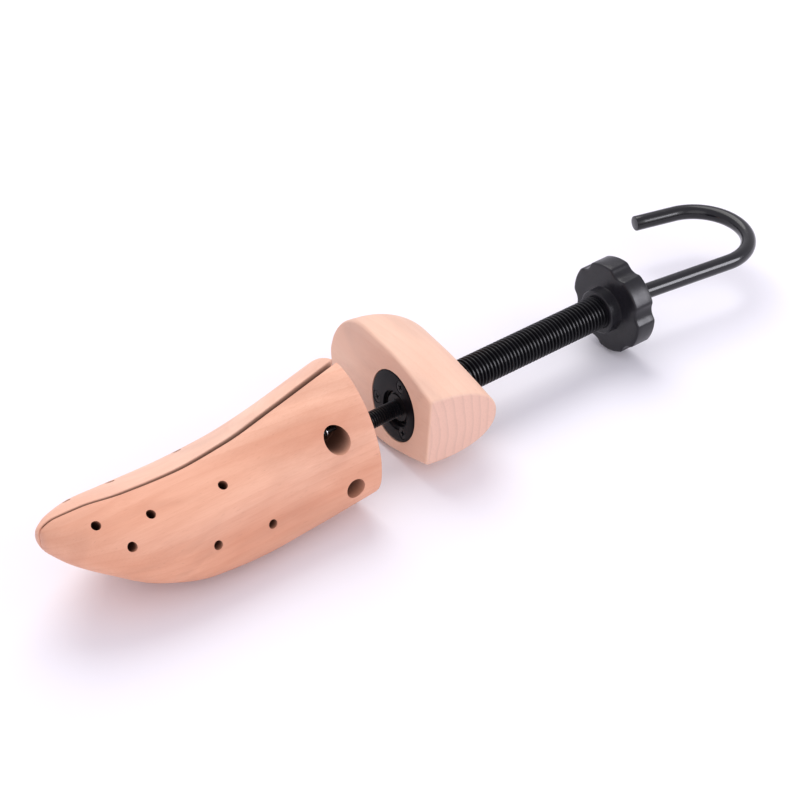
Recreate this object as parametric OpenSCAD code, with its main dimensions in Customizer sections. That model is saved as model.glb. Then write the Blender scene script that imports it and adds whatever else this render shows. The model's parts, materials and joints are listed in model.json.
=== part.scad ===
// Two-way wooden shoe stretcher.
// The hook rod screws through a trunnion nut in the split forepart and drives a cone that
// spreads the two halves. The threaded sleeve and its knob push the heel block along the rod.
// Frame: +X from the toe to the hook, +Y away from the flat end of the heel block, +Z up.
// The origin is the bottom centre of the whole object's box. Inside place() the rod's axis is
// the X axis, and X is 0 at the front face of the heel block.

/* [Forepart] */
// Distance from the toe tip to the heel block's front face
toe_reach = 180; // [179:0.5:182]
// Length of the wooden forepart along the rod
fore_len = 148.5; // [148:0.5:149]
// Roll of the forepart about the rod
fore_roll = -5.5; // [-7:0.5:-4]
// Lean of the rear face, its top towards the heel
rear_lean = 2.8; // [2:0.2:4]
// Width of the slit at the toe
slit_toe = 1; // [0.9:0.1:1.2]
// Width of the slit at the rear face
slit_rear = 3; // [2.8:0.1:3.4]
// Diameter of the holes for bunion plugs
plug_d = 4.2; // [3.8:0.1:4.6]
// Depth of the holes for bunion plugs
plug_depth = 12; // [8:1:14]
// Diameter of the cross hole for the return spring
spring_hole_d = 11.2; // [11:0.1:12]
// Diameter of the cross hole for the trunnion nut's pins
pin_hole_d = 9.2; // [9:0.1:9.6]

/* [Heel block] */
// Distance from the flange's centre to the block's flat end
heel_flat = 28; // [27:0.5:29]
// Distance from the flange's centre to the centre of the rounded end
heel_round = 25.6; // [25:0.1:26]
// Half width of the block at its rounded end
heel_half_w = 25.8; // [25:0.2:26.6]
// Depth of the block, front face to back
heel_depth = 38.2; // [37.8:0.1:38.6]
// Roll of the block about the rod beyond lying on its side
heel_roll_rest = -0.9; // [-1.2:0.1:-0.6]
// Pitch of the block on the sleeve, its front raised
heel_pitch = 4.5; // [3:0.5:5]
// Yaw of the block on the sleeve
heel_yaw = -4.7; // [-5:0.1:-4]

/* [Rod and hook] */
// Diameter of the plain steel rod
rod_d = 7.5; // [7.4:0.1:7.6]
// Major diameter of the rod's rolled thread
rod_thread_d = 8; // [7.9:0.1:8]
// Radius of the hook, to the rod's centre line
hook_r = 24.5; // [22:0.5:26]
// Angle through which the hook turns
hook_turn = 173.3; // [165:0.1:180]
// Length of the hook's free leg
hook_leg = 22; // [15:1:30]
// Bend of the rod behind the knob
kink_a = 7.8; // [5:0.1:10]

/* [Sleeve and knob] */
// Major diameter of the sleeve's thread
sleeve_d = 16; // [15.8:0.1:16]
// Distance from the heel block's front face to the knob's front face
knob_front = 126.5; // [120:0.5:130]
// Diameter of the knob over its lobes
knob_d = 44.8; // [43:0.2:46]
// Thickness of the knob
knob_t = 11; // [10:0.5:12]
// Number of lobes on the knob
knob_lobes = 6; // [5:1:8]

/* [Flange nut] */
// Diameter of the flange
flange_d = 33.6; // [33:0.1:34]
// Thickness of the flange
flange_t = 2.5; // [2:0.1:2.6]

/* [Hidden] */
$fn = 64;
eps = 0.01;

wood = [0.90, 0.71, 0.57];
end_grain = [0.86, 0.66, 0.50];
black_plastic = [0.10, 0.10, 0.11];
black_steel = [0.07, 0.07, 0.08];
bright_steel = [0.72, 0.73, 0.75];

// The object's box in the rod's frame: its middle along X and Y, and the floor below the axis
mid_x = 25.35;
mid_y = 10.1;
axis_h = 24.3;

// Forepart stations: distance from the toe tip, half width, ridge height, height of the widest
// point, sole height, and the roundness exponents of the upper and lower parts of the section
fore_rows = [
    [0, 2.6, 20.5, 18, 15.5, 2, 2.2],
    [3, 7.4, 24, 15.5, 10, 1.9, 2.4],
    [8, 12.2, 25.2, 12.8, 5, 1.9, 2.6],
    [20, 20.5, 24.9, 7.8, -3, 1.9, 2.9],
    [40, 28, 22.2, 0.8, -14.5, 1.9, 3.3],
    [65, 31, 21, -3.8, -21.8, 1.9, 3.5],
    [90, 31.3, 23.5, -5, -23.4, 1.8, 3.5],
    [115, 31, 29.6, -3.2, -22.4, 1.7, 3.5],
    [148.5, 32, 38.5, 1, -20, 1.7, 3.2]
];
fore_rings = 30;
fore_arc = 11;

// Plug holes: distance from the toe tip, and the angle of the hole above horizontal, seen from
// the section's core
plug_holes = [
    [20.1, 45], [43.3, 45.3], [77.6, 48.2],
    [29.3, 14.5], [64.2, 2.7], [91.2, 0.7]
];

// Heel stations: distance from the flange's centre towards the rounded end, and half width
heel_rows = [
    [-heel_flat, 16.6], [-14, 20.7], [-5, 22.8], [4, 24.5], [heel_round, heel_half_w]
];
heel_rise = 1.3;
heel_taper = 1.6;
heel_end_edge = 0.34;
heel_end_dome = 1.06;
heel_tilt_at = 13.7;
heel_side = 4;
heel_straight_rings = 8;
heel_end_rings = 9;
heel_arc = 9;

// Trunnion nut, cone and wear plates, in the forepart's frame
nut_x = -45.8;
nut_len = 14;
nut_half_y = 6.5;
nut_low = -9.5;
nut_high = 7;
trunnion_z = -5;
trunnion_d = 7;
trunnion_reach = 22;
spring_x = -48.4;
spring_z = 17.4;
spring_od = 7.4;
spring_id = 5.4;
spring_half = 13;
spring_bore_d = 9.6;
spring_ledge = 14.5;
spring_pin_d = 2.2;
spring_pin_len = 10.4;
cone_back = -62;
cone_len = 15;
cone_r_back = 9;
cone_slope = 0.3;
journal_d = 5;
rivet_d = 6.8;
rivet_t = 1.2;
plate_gap = 0.5;
plate_a = atan(cone_slope);
plate_t = 2;
plate_half_h = 8;
plate_front = -29.2;
plate_back = 4.2;
plate_screw_x = [-21, -3];
cavity_front = -98;
cavity_back = -57.5;
cavity_half_h = 10.2;
channel_r = 6;
run = 0.05;

// Toe hinge, in the forepart's frame
hinge_x = -172;
hinge_z = 15;
hinge_h = 9;
hinge_barrel_r = 2.2;
hinge_pin_r = 1.1;
leaf_t = 1;
leaf_len = 14;
leaf_screw_x = [6.5, 11.5];

// Rod, sleeve and knob stations along the axis
washer_x = 1.5;
washer_t = 1.2;
sleeve_x = 2.8;
thread_end = 1.4;
collar_x = 120.6;
collar_d = 21.5;
knob_recess = 2;
kink_x = 138;
kink_r = 25;
stem_len = 58.4;
scallop_r = 7;
scallop_at = 27.5;
scallop_phase = 13.7;

// Screws: shank diameter, head diameter, length
flange_screw = [3, 5.8, 14];
plate_screw = [3, 5.6, 13];
leaf_screw = [2.2, 4, 7];
flange_screw_ring = 12.9;
flange_screw_phase = 19.4;

// ---- Functions ----

function col(rows, c) = [for (r = rows) r[c]];

function seg(k, x, i = 0) = i >= len(k) - 2 || x < k[i + 1] ? i : seg(k, x, i + 1);

function rise(k, v, i) = (v[i + 1] - v[i]) / (k[i + 1] - k[i]);

// Slope at a station: the harmonic mean of its two sides, and 0 at a peak
function slope(k, v, i) =
    i == 0 ? rise(k, v, 0) :
    i == len(k) - 1 ? rise(k, v, i - 1) :
    let (a = rise(k, v, i - 1), b = rise(k, v, i)) a * b <= 0 ? 0 : 2 * a * b / (a + b);

// Smooth curve through the values v at the places k
function curve(k, v, x) =
    let (i = seg(k, x), h = k[i + 1] - k[i], t = (x - k[i]) / h)
    v[i] * (1 + 2 * t) * pow(1 - t, 2) + v[i + 1] * t * t * (3 - 2 * t)
    + h * t * (1 - t) * (slope(k, v, i) * (1 - t) - slope(k, v, i + 1) * t);

fore_keys = [for (d = col(fore_rows, 0)) sqrt(d)];

function fore_at(d, c) = curve(fore_keys, col(fore_rows, c), sqrt(d));

// One section of a half, as points from the ridge round the flank to the sole
function fore_ring(d) =
    let (
        w = fore_at(d, 1), top = fore_at(d, 2), mid = fore_at(d, 3), low = fore_at(d, 4),
        eu = 2 / fore_at(d, 5), el = 2 / fore_at(d, 6), lean = tan(rear_lean) * d / fore_len
    )
    [for (i = [0 : 2 * fore_arc])
        let (
            a = 90 - 90 * i / fore_arc,
            e = a >= 0 ? eu : el,
            y = w * pow(abs(cos(a)), e),
            z = a >= 0 ? mid + (top - mid) * pow(sin(a), e) : mid - (mid - low) * pow(-sin(a), e)
        )
        [d - toe_reach + lean * z, y, z]];

function heel_half(u) = curve(col(heel_rows, 0), col(heel_rows, 1), u);

// One D-shaped section of the heel block, half width w and depth t, at distance u
function heel_ring(u, w, t) =
    let (corner = min(1.5, w / 3))
    concat(
        [[corner, u, -w], [corner * 0.3, u, -w + corner * 0.3], [0, u, -w + corner]],
        [[0, u, w - corner], [corner * 0.3, u, w - corner * 0.3], [corner, u, w]],
        [for (i = [0 : 2 * heel_arc])
            let (a = 90 - 90 * i / heel_arc, s = min(heel_side, t / 3), e = 0.92)
            [s + (t - s) * pow(cos(a), e), u, w * sign(a) * pow(abs(sin(a)), e)]]
    );

heel_rings = concat(
    [for (i = [0 : heel_straight_rings])
        let (u = -heel_flat + (heel_flat + heel_round) * i / heel_straight_rings)
        heel_ring(u, heel_half(u), heel_depth - heel_taper * (1 - i / heel_straight_rings))],
    [for (i = [1 : heel_end_rings])
        let (a = 86 * i / heel_end_rings)
        heel_ring(heel_round + heel_half_w * sin(a), heel_half_w * cos(a),
            heel_depth * (heel_end_edge + (1 - heel_end_edge) * pow(cos(a), heel_end_dome)))]
);

// ---- Building blocks ----

// Solid skin over rings of equal length
module loft(rings) {
    n = len(rings[0]);
    m = len(rings);
    points = [for (r = rings) each r];
    sides = [for (j = [0 : m - 2], i = [0 : n - 1])
        let (a = j * n + i, b = j * n + (i + 1) % n) each [[a, b, b + n], [a, b + n, a + n]]];
    caps = [[for (i = [n - 1 : -1 : 0]) i], [for (i = [0 : n - 1]) (m - 1) * n + i]];
    polyhedron(points, concat(sides, caps), 4);
}

// Puts the rod's frame in the object's frame
module place() {
    translate([-mid_x, -mid_y, axis_h]) children();
}

// The forepart's upright frame, rolled about the rod
module fore_pose() {
    place() rotate([fore_roll, 0, 0]) children();
}

// The heel block's own frame, tilted on the sleeve within the thread's play
module heel_pose() {
    place() translate([heel_tilt_at, 0, 0]) rotate([heel_roll_rest, heel_pitch, heel_yaw])
        translate([-heel_tilt_at, 0, 0]) children();
}

// Cylinder along X from x0 to x1
module bar(x0, x1, d) {
    translate([x0, 0, 0]) rotate([0, 90, 0]) cylinder(h = x1 - x0, d = d);
}

// Cylinder along Y from y0 to y1
module cross_bar(x, z, y0, y1, d) {
    translate([x, y0, z]) rotate([-90, 0, 0]) cylinder(h = y1 - y0, d = d);
}

// Body of a countersunk screw, head at the origin, pointing along -Z
module screw_body(s) {
    head_h = (s[1] - s[0]) / 2;
    translate([0, 0, -head_h]) cylinder(h = head_h, d1 = s[0], d2 = s[1]);
    translate([0, 0, -s[2]]) cylinder(h = s[2] - head_h + eps, d = s[0]);
}

// Countersunk screw with a cross recess
module screw(s) {
    slot_w = s[1] * 0.14;
    difference() {
        screw_body(s);
        for (a = [0, 90])
            rotate([0, 0, a]) translate([-s[1] * 0.3, -slot_w / 2, -0.9])
                cube([s[1] * 0.6, slot_w, 2]);
    }
}

// Puts children on the far wear plate's face, +Z out of the face towards the cone
module on_plate(x) {
    translate([cone_back, cone_r_back + plate_gap, 0]) rotate([0, 0, plate_a])
        translate([x, 0, 0]) rotate([90, 0, 0]) children();
}

// Puts children on the far hinge leaf's face, +Z towards the slit
module on_leaf(x) {
    translate([hinge_x + x, slit_at(hinge_x), hinge_z]) rotate([90, 0, 0]) children();
}

// Half of the slit's width at x
function slit_at(x) =
    (slit_toe + (slit_rear - slit_toe) * (x + toe_reach) / fore_len) / 2;

// Puts children at the flange's screws, +Z out of the flange
module at_flange_screws() {
    for (i = [0 : 2])
        rotate([120 * i + flange_screw_phase, 0, 0]) translate([0, 0, flange_screw_ring])
            rotate([0, -90, 0]) children();
}

// One plug hole in the far half
module plug_hole(d, a) {
    w = fore_at(d, 1);
    core_z = fore_at(d, 3) + 2;
    reach = w * 1.6;
    translate([d - toe_reach, 0, core_z]) rotate([a, 0, 0])
        translate([0, plug_start(d, a), 0]) rotate([-90, 0, 0]) cylinder(h = reach, d = plug_d);
}

// Distance from the section's core to a plug hole's bottom
function plug_start(d, a) =
    let (
        w = fore_at(d, 1), h = fore_at(d, 2) - fore_at(d, 3) - 2, n = fore_at(d, 5),
        r = 1 / pow(pow(cos(a) / w, n) + pow(sin(a) / h, n), 1 / n)
    )
    r - plug_depth;

// Cavity for the cone and its wear plate, in plan, in the far half
module cone_cavity() {
    run_x = [plate_front, plate_back];
    outer = [for (x = run_x)
        [cone_back + x * cos(plate_a) - plate_t * sin(plate_a),
         cone_r_back + plate_gap + x * sin(plate_a) + plate_t * cos(plate_a)]];
    translate([0, 0, -cavity_half_h]) linear_extrude(2 * cavity_half_h)
        polygon([
            [cavity_front, -1], [cavity_front, outer[0][1]], outer[0],
            outer[1], [cavity_back, outer[1][1]], [cavity_back, -1]
        ]);
}

// Everything cut from the far half, in the forepart's frame
module fore_cuts() {
    translate([0, 0, -60]) linear_extrude(120)
        polygon([
            [-toe_reach - 5, -5], [-toe_reach - 5, slit_at(-toe_reach - 5)],
            [5, slit_at(5)], [5, -5]
        ]);
    bar(nut_x, 5, 2 * channel_r);
    translate([nut_x - nut_len / 2 - 1.2, -5, nut_low - 1])
        cube([nut_len + 2.4, nut_half_y + 7.1, nut_high - nut_low + 2]);
    cross_bar(nut_x, trunnion_z, 0, 60, pin_hole_d);
    cross_bar(spring_x, spring_z, -1, 60, spring_bore_d);
    cross_bar(spring_x, spring_z, spring_ledge, 60, spring_hole_d);
    translate([nut_x - nut_len, 0, 0]) bar(-2, nut_len, 2 * channel_r);
    cone_cavity();
    for (h = plug_holes) plug_hole(h[0], h[1]);
    for (x = plate_screw_x) on_plate(x) screw_body(plate_screw);
    translate([hinge_x, 0, hinge_z - hinge_h / 2 - 0.3])
        cylinder(h = hinge_h + 0.6, r = hinge_barrel_r + 0.5);
    translate([hinge_x, -1, hinge_z - hinge_h / 2])
        cube([leaf_len + 2.5, 1 + slit_at(hinge_x) + leaf_t, hinge_h]);
    for (x = leaf_screw_x) on_leaf(x) screw_body(leaf_screw);
}

// One half of the forepart, on the far side
module fore_half() {
    difference() {
        loft([for (i = [0 : fore_rings]) fore_ring(fore_len * pow(i / fore_rings, 1.5))]);
        fore_cuts();
    }
}

// Pin that lies across the ledge in the spring's hole, in the far half
module spring_pin_body() {
    translate([spring_x, spring_ledge + spring_pin_d / 2, spring_z])
        bar(-spring_pin_len / 2, spring_pin_len / 2, spring_pin_d);
}

// Hinge leaf on the far side, whose knuckles take the given thirds of the barrel
module leaf(thirds) {
    s = slit_at(hinge_x);
    third = hinge_h / 3;
    difference() {
        union() {
            translate([hinge_barrel_r + 0.3, s, -hinge_h / 2])
                cube([leaf_len - 0.3, leaf_t, hinge_h]);
            for (k = thirds) translate([0, 0, (k - 1.5) * third + 0.08]) {
                cylinder(h = third - 0.16, r = hinge_barrel_r);
                translate([0, s, 0]) cube([hinge_barrel_r + 0.4, leaf_t, third - 0.16]);
            }
        }
        translate([0, 0, -hinge_h]) cylinder(h = 2 * hinge_h, r = hinge_pin_r + run);
        for (x = leaf_screw_x) translate([x, s, 0]) rotate([90, 0, 0]) screw_body(leaf_screw);
    }
}

module leaf_place() {
    translate([hinge_x, 0, hinge_z]) children();
}

// Wear plate on the far side
module plate() {
    difference() {
        translate([cone_back, cone_r_back + plate_gap, 0]) rotate([0, 0, plate_a])
            translate([plate_front, 0, -plate_half_h])
                cube([plate_back - plate_front, plate_t, 2 * plate_half_h]);
        for (x = plate_screw_x) on_plate(x) screw_body(plate_screw);
    }
}

// Faint ring where a bend of the rod begins or ends
module bend_ring() {
    bar(-0.2, 0.2, rod_d + 0.04);
}

// Straight end of the rod with its hook, from the end of the kink
module hook() {
    bend_ring();
    bar(0.1, stem_len - 0.1, rod_d);
    translate([stem_len, 0, 0]) bend_ring();
    translate([stem_len, hook_r, 0]) rotate([0, 0, -90])
        rotate_extrude(angle = hook_turn) translate([hook_r, 0]) circle(d = rod_d);
    translate([stem_len + hook_r * sin(hook_turn), hook_r * (1 - cos(hook_turn)), 0])
        rotate([0, 0, hook_turn]) {
            bend_ring();
            bar(0.1, hook_leg, rod_d);
        }
}

// Swaps the far side for the near side
module near() {
    mirror([0, 1, 0]) children();
}

// ---- Sub-parts ----

module forepart_near() {
    color(wood) fore_pose() near() fore_half();
}

module forepart_far() {
    color(wood) fore_pose() fore_half();
}

module heel_block() {
    color(end_grain) heel_pose() difference() {
        translate([0, 0, heel_rise]) loft(heel_rings);
        bar(-5, flange_t, flange_d);
        bar(0, 22, 21.8);
        bar(21.9, 60, 23.6);
        at_flange_screws() screw_body(flange_screw);
    }
}

module flange_nut() {
    color(black_plastic) difference() {
        heel_pose() difference() {
            union() {
                bar(0, flange_t, flange_d);
                bar(0, 22, 21.8);
            }
            bar(-1, flange_t + 0.1, 17.7);
            at_flange_screws() screw_body(flange_screw);
        }
        place() bar(-2, 30, sleeve_d + 2 * run);
    }
}

module flange_screws() {
    color(black_steel) heel_pose() at_flange_screws() screw(flange_screw);
}

module threaded_sleeve() {
    color(black_plastic) place() difference() {
        bar(sleeve_x, knob_front + knob_t - knob_recess, sleeve_d);
        bar(0, knob_front + knob_t, rod_d + 2 * run);
    }
}

module knob() {
    color(black_plastic) place() difference() {
        union() {
            bar(collar_x, knob_front + 1, collar_d);
            bar(knob_front, knob_front + knob_t, knob_d);
        }
        bar(collar_x - 1, knob_front + knob_t + 1, sleeve_d);
        for (i = [0 : knob_lobes - 1])
            rotate([270 - scallop_phase - 360 / knob_lobes * i, 0, 0])
                translate([knob_front - 1, 0, scallop_at]) bar(0, knob_t + 2, 2 * scallop_r);
    }
}

module hook_rod() {
    color(black_steel) place() {
        bar(cone_back + 0.1, thread_end, rod_thread_d);
        bar(cone_back - cone_len - 0.1, cone_back + 0.1, journal_d);
        bar(cone_back - cone_len - 0.1 - rivet_t, cone_back - cone_len - 0.1, rivet_d);
        bar(thread_end, kink_x - 0.1, rod_d);
        translate([kink_x, 0, 0]) bend_ring();
        translate([kink_x, -kink_r, 0]) rotate([0, 0, 90 - kink_a])
            rotate_extrude(angle = kink_a) translate([kink_r, 0]) circle(d = rod_d);
        translate([kink_x + kink_r * sin(kink_a), -kink_r * (1 - cos(kink_a)), 0])
            rotate([0, 0, -kink_a]) hook();
    }
}

module thrust_washer() {
    color(black_steel) place() difference() {
        bar(washer_x, washer_x + washer_t, 13.5);
        bar(0, 5, rod_d + 2 * run);
    }
}

module retaining_washer() {
    x = knob_front + knob_t - knob_recess + 0.1;
    color(bright_steel) place() difference() {
        bar(x, x + 1.2, 13);
        bar(x - 1, x + 3, rod_d);
    }
}

module trunnion_nut() {
    color(bright_steel) fore_pose() difference() {
        union() {
            translate([nut_x - nut_len / 2, -nut_half_y, nut_low])
                cube([nut_len, 2 * nut_half_y, nut_high - nut_low]);
            cross_bar(nut_x, trunnion_z, -trunnion_reach, trunnion_reach, trunnion_d);
        }
        bar(nut_x - nut_len, nut_x + nut_len, rod_thread_d + 2 * run);
    }
}

module spreader_cone() {
    color(bright_steel) place() difference() {
        translate([cone_back - cone_len, 0, 0]) rotate([0, 90, 0])
            cylinder(h = cone_len, r1 = cone_r_back - cone_slope * cone_len, r2 = cone_r_back);
        bar(cone_back - cone_len - 1, cone_back + 1, journal_d + 2 * run);
    }
}

module wear_plate_near() {
    color(bright_steel) fore_pose() near() plate();
}

module wear_plate_far() {
    color(bright_steel) fore_pose() plate();
}

module plate_screws() {
    for (x = plate_screw_x) on_plate(x) screw(plate_screw);
}

module plate_screws_near() {
    color(bright_steel) fore_pose() near() plate_screws();
}

module plate_screws_far() {
    color(bright_steel) fore_pose() plate_screws();
}

module hinge_leaf_near() {
    color(bright_steel) fore_pose() near() leaf_place() leaf([0, 2]);
}

module hinge_leaf_far() {
    color(bright_steel) fore_pose() leaf_place() leaf([1]);
}

module hinge_pin() {
    color(bright_steel) fore_pose() leaf_place()
        translate([0, 0, -hinge_h / 2]) cylinder(h = hinge_h, r = hinge_pin_r);
}

module leaf_screws() {
    for (x = leaf_screw_x) on_leaf(x) screw(leaf_screw);
}

module hinge_screws_near() {
    color(bright_steel) fore_pose() near() leaf_screws();
}

module hinge_screws_far() {
    color(bright_steel) fore_pose() leaf_screws();
}

module return_spring() {
    color(bright_steel) fore_pose() difference() {
        cross_bar(spring_x, spring_z, -spring_half, spring_half, spring_od);
        cross_bar(spring_x, spring_z, -spring_half - 1, spring_half + 1, spring_id);
    }
}

module spring_pin_near() {
    color(bright_steel) fore_pose() near() spring_pin_body();
}

module spring_pin_far() {
    color(bright_steel) fore_pose() spring_pin_body();
}

forepart_near();
forepart_far();
heel_block();
flange_nut();
flange_screws();
threaded_sleeve();
knob();
hook_rod();
thrust_washer();
retaining_washer();
trunnion_nut();
spreader_cone();
wear_plate_near();
wear_plate_far();
plate_screws_near();
plate_screws_far();
hinge_leaf_near();
hinge_leaf_far();
hinge_pin();
hinge_screws_near();
hinge_screws_far();
return_spring();
spring_pin_near();
spring_pin_far();
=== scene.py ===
"""A two-way wooden shoe stretcher on a pale floor.

Lengths are in millimetres in the rod's frame: the rod's axis is X, and X is 0 at the heel
block's front face. world() puts them in metres in the row's frame.
"""

import json
import math

import bmesh
import bpy
import numpy as np
from mathutils import Matrix, Vector

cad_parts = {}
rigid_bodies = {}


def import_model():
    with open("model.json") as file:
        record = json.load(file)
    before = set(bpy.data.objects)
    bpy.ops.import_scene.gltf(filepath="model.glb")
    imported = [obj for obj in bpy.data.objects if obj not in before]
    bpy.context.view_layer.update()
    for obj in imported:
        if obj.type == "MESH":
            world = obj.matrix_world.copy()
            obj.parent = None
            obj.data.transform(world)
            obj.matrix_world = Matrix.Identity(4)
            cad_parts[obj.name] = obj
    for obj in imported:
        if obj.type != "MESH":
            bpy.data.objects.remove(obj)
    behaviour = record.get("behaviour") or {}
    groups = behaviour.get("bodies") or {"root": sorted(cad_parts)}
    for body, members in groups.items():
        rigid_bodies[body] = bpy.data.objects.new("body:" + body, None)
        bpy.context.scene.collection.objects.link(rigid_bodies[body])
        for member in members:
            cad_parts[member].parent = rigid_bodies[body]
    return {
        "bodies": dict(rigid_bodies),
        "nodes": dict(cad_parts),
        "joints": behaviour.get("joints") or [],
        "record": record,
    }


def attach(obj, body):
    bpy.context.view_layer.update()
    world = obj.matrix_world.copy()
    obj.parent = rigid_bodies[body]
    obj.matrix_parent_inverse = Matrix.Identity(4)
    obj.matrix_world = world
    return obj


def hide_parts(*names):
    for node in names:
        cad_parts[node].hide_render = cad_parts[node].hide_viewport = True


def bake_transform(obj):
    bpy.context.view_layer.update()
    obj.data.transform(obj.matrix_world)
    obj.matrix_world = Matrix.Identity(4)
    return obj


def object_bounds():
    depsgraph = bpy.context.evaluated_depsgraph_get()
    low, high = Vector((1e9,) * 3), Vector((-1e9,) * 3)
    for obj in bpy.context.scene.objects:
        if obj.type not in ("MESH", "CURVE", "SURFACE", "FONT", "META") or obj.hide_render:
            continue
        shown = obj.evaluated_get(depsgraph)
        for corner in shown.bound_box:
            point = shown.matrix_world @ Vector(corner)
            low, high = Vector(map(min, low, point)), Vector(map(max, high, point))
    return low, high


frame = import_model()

CAD_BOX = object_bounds()
TAU = 2 * math.pi
QUARTER = math.pi / 2

JOINTS = {j["name"]: j for j in frame["joints"]}
ORIGIN = np.array(JOINTS["hook_spin"]["pos_m"]) * 1000  # the rod's axis in the row's frame


# ---------------------------------------------------------------- frames

def turn(axis, degrees):
    return np.array(Matrix.Rotation(math.radians(degrees), 3, axis))


# How the forepart and the heel block lie about the rod
FORE = turn("X", -5.5)
HEEL = turn("Z", -4.7) @ turn("Y", 4.5) @ turn("X", -0.9)
HEEL_AT = np.array([13.7, 0, 0])  # the point the heel block is turned about


def fore(p):
    """From the forepart's upright frame to the rod's."""
    return np.asarray(p, float) @ FORE.T


def heel(p):
    """From the heel block's own frame to the rod's."""
    return (np.asarray(p, float) - HEEL_AT) @ HEEL.T + HEEL_AT


def same(p):
    return np.asarray(p, float)


def world(p):
    return (np.asarray(p, float) + ORIGIN) / 1000


# ---------------------------------------------------------------- mesh tools

SHARP = 38  # degrees; edges blunter than this are shaded smooth


def linked(name, data):
    """A new object in the scene."""
    obj = bpy.data.objects.new(name, data)
    bpy.context.scene.collection.objects.link(obj)
    return obj


def mesh_piece(name, verts, faces, sharp=SHARP):
    """A mesh object from vertices in the rod's frame."""
    me = bpy.data.meshes.new(name)
    me.from_pydata([tuple(v) for v in world(verts)], [], [tuple(f) for f in faces])
    me.validate()
    bm = bmesh.new()
    bm.from_mesh(me)
    bmesh.ops.recalc_face_normals(bm, faces=bm.faces)
    bm.to_mesh(me)
    bm.free()
    obj = linked(name, me)
    soften(obj, sharp)
    return obj


def soften(obj, sharp):
    me = obj.data
    me.polygons.foreach_set("use_smooth", [True] * len(me.polygons))
    me.set_sharp_from_angle(angle=math.radians(sharp))
    me.update()


def grid_faces(rows, n, closed=False):
    """The faces between rings of n points, and from the last ring to the first if closed."""
    faces = []
    for j in range(rows if closed else rows - 1):
        a, b = j * n, ((j + 1) % rows) * n
        faces += [(a + i, a + (i + 1) % n, b + (i + 1) % n, b + i) for i in range(n)]
    return faces


def loft(name, rings, to=same, sharp=SHARP):
    """A closed skin over rings of equal length, with a flat cap at each end."""
    rings = np.asarray(rings, float)
    m, n = rings.shape[:2]
    faces = grid_faces(m, n)
    faces.append(tuple(range(n - 1, -1, -1)))
    faces.append(tuple((m - 1) * n + i for i in range(n)))
    return mesh_piece(name, to(rings.reshape(-1, 3)), faces, sharp)


def circle(x, r, n, y=0.0, z=0.0):
    a = np.arange(n) * TAU / n
    return np.stack([np.full(n, x), y + r * np.cos(a), z + r * np.sin(a)], 1)


def lathe(name, profile, n=64, to=same, sharp=SHARP, y=0.0, z=0.0, ring=False):
    """A turned piece about X, from (x, radius) pairs. A ring's profile is closed, so it has a hole."""
    rings = np.array([circle(x, r, n, y, z) for x, r in profile])
    if not ring:
        return loft(name, rings, to, sharp)
    return mesh_piece(name, to(rings.reshape(-1, 3)), grid_faces(len(rings), n, closed=True), sharp)


def along(direction, at):
    """A map that puts an X-axis piece along a direction, from a point, in the same frame."""
    d = np.asarray(direction, float)
    d = d / np.linalg.norm(d)
    helper = np.array([0, 0, 1.0]) if abs(d[2]) < 0.9 else np.array([0, 1.0, 0])
    e1 = np.cross(helper, d)
    e1 /= np.linalg.norm(e1)
    rot = np.stack([d, e1, np.cross(d, e1)], 1)
    at = np.asarray(at, float)
    return lambda p: np.asarray(p, float) @ rot.T + at


def then(first, second):
    return lambda p: second(first(p))


END_STEPS = 3


def tube(name, path, radius, n=20, to=same, normal=(0, 0, 1), rounded=0.0, sharp=SHARP):
    """A round bar along a path. normal is a direction across its start; rounded eases both ends."""
    path = np.asarray(path, float)
    tangent = np.gradient(path, axis=0)
    tangent /= np.linalg.norm(tangent, axis=1)[:, None]
    e1 = np.array(normal, float)
    frames = []
    for p, t in zip(path, tangent):
        e1 = e1 - t * np.dot(e1, t)
        e1 /= np.linalg.norm(e1)
        frames.append((p, t, e1, np.cross(t, e1)))
    a = np.arange(n) * TAU / n

    def ring(at, e1, e2, r):
        return at + r * (np.cos(a)[:, None] * e1 + np.sin(a)[:, None] * e2)

    def round_end(frame, inward):
        """The rings of an eased edge, from the end face inwards."""
        p, t, e1, e2 = frame
        steps = [QUARTER * k / END_STEPS for k in range(END_STEPS + 1)]
        return [ring(p + inward * t * rounded * (1 - math.cos(s)), e1, e2,
                     radius - rounded * (1 - math.sin(s))) for s in steps]

    if not rounded:
        return loft(name, [ring(p, e1, e2, radius) for p, _, e1, e2 in frames], to, sharp)
    rings = round_end(frames[0], 1)
    rings += [ring(p, e1, e2, radius) for p, _, e1, e2 in frames[1:-1]]
    rings += round_end(frames[-1], -1)[::-1]
    return loft(name, rings, to, sharp)


THREAD_SHARP = 30


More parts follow.
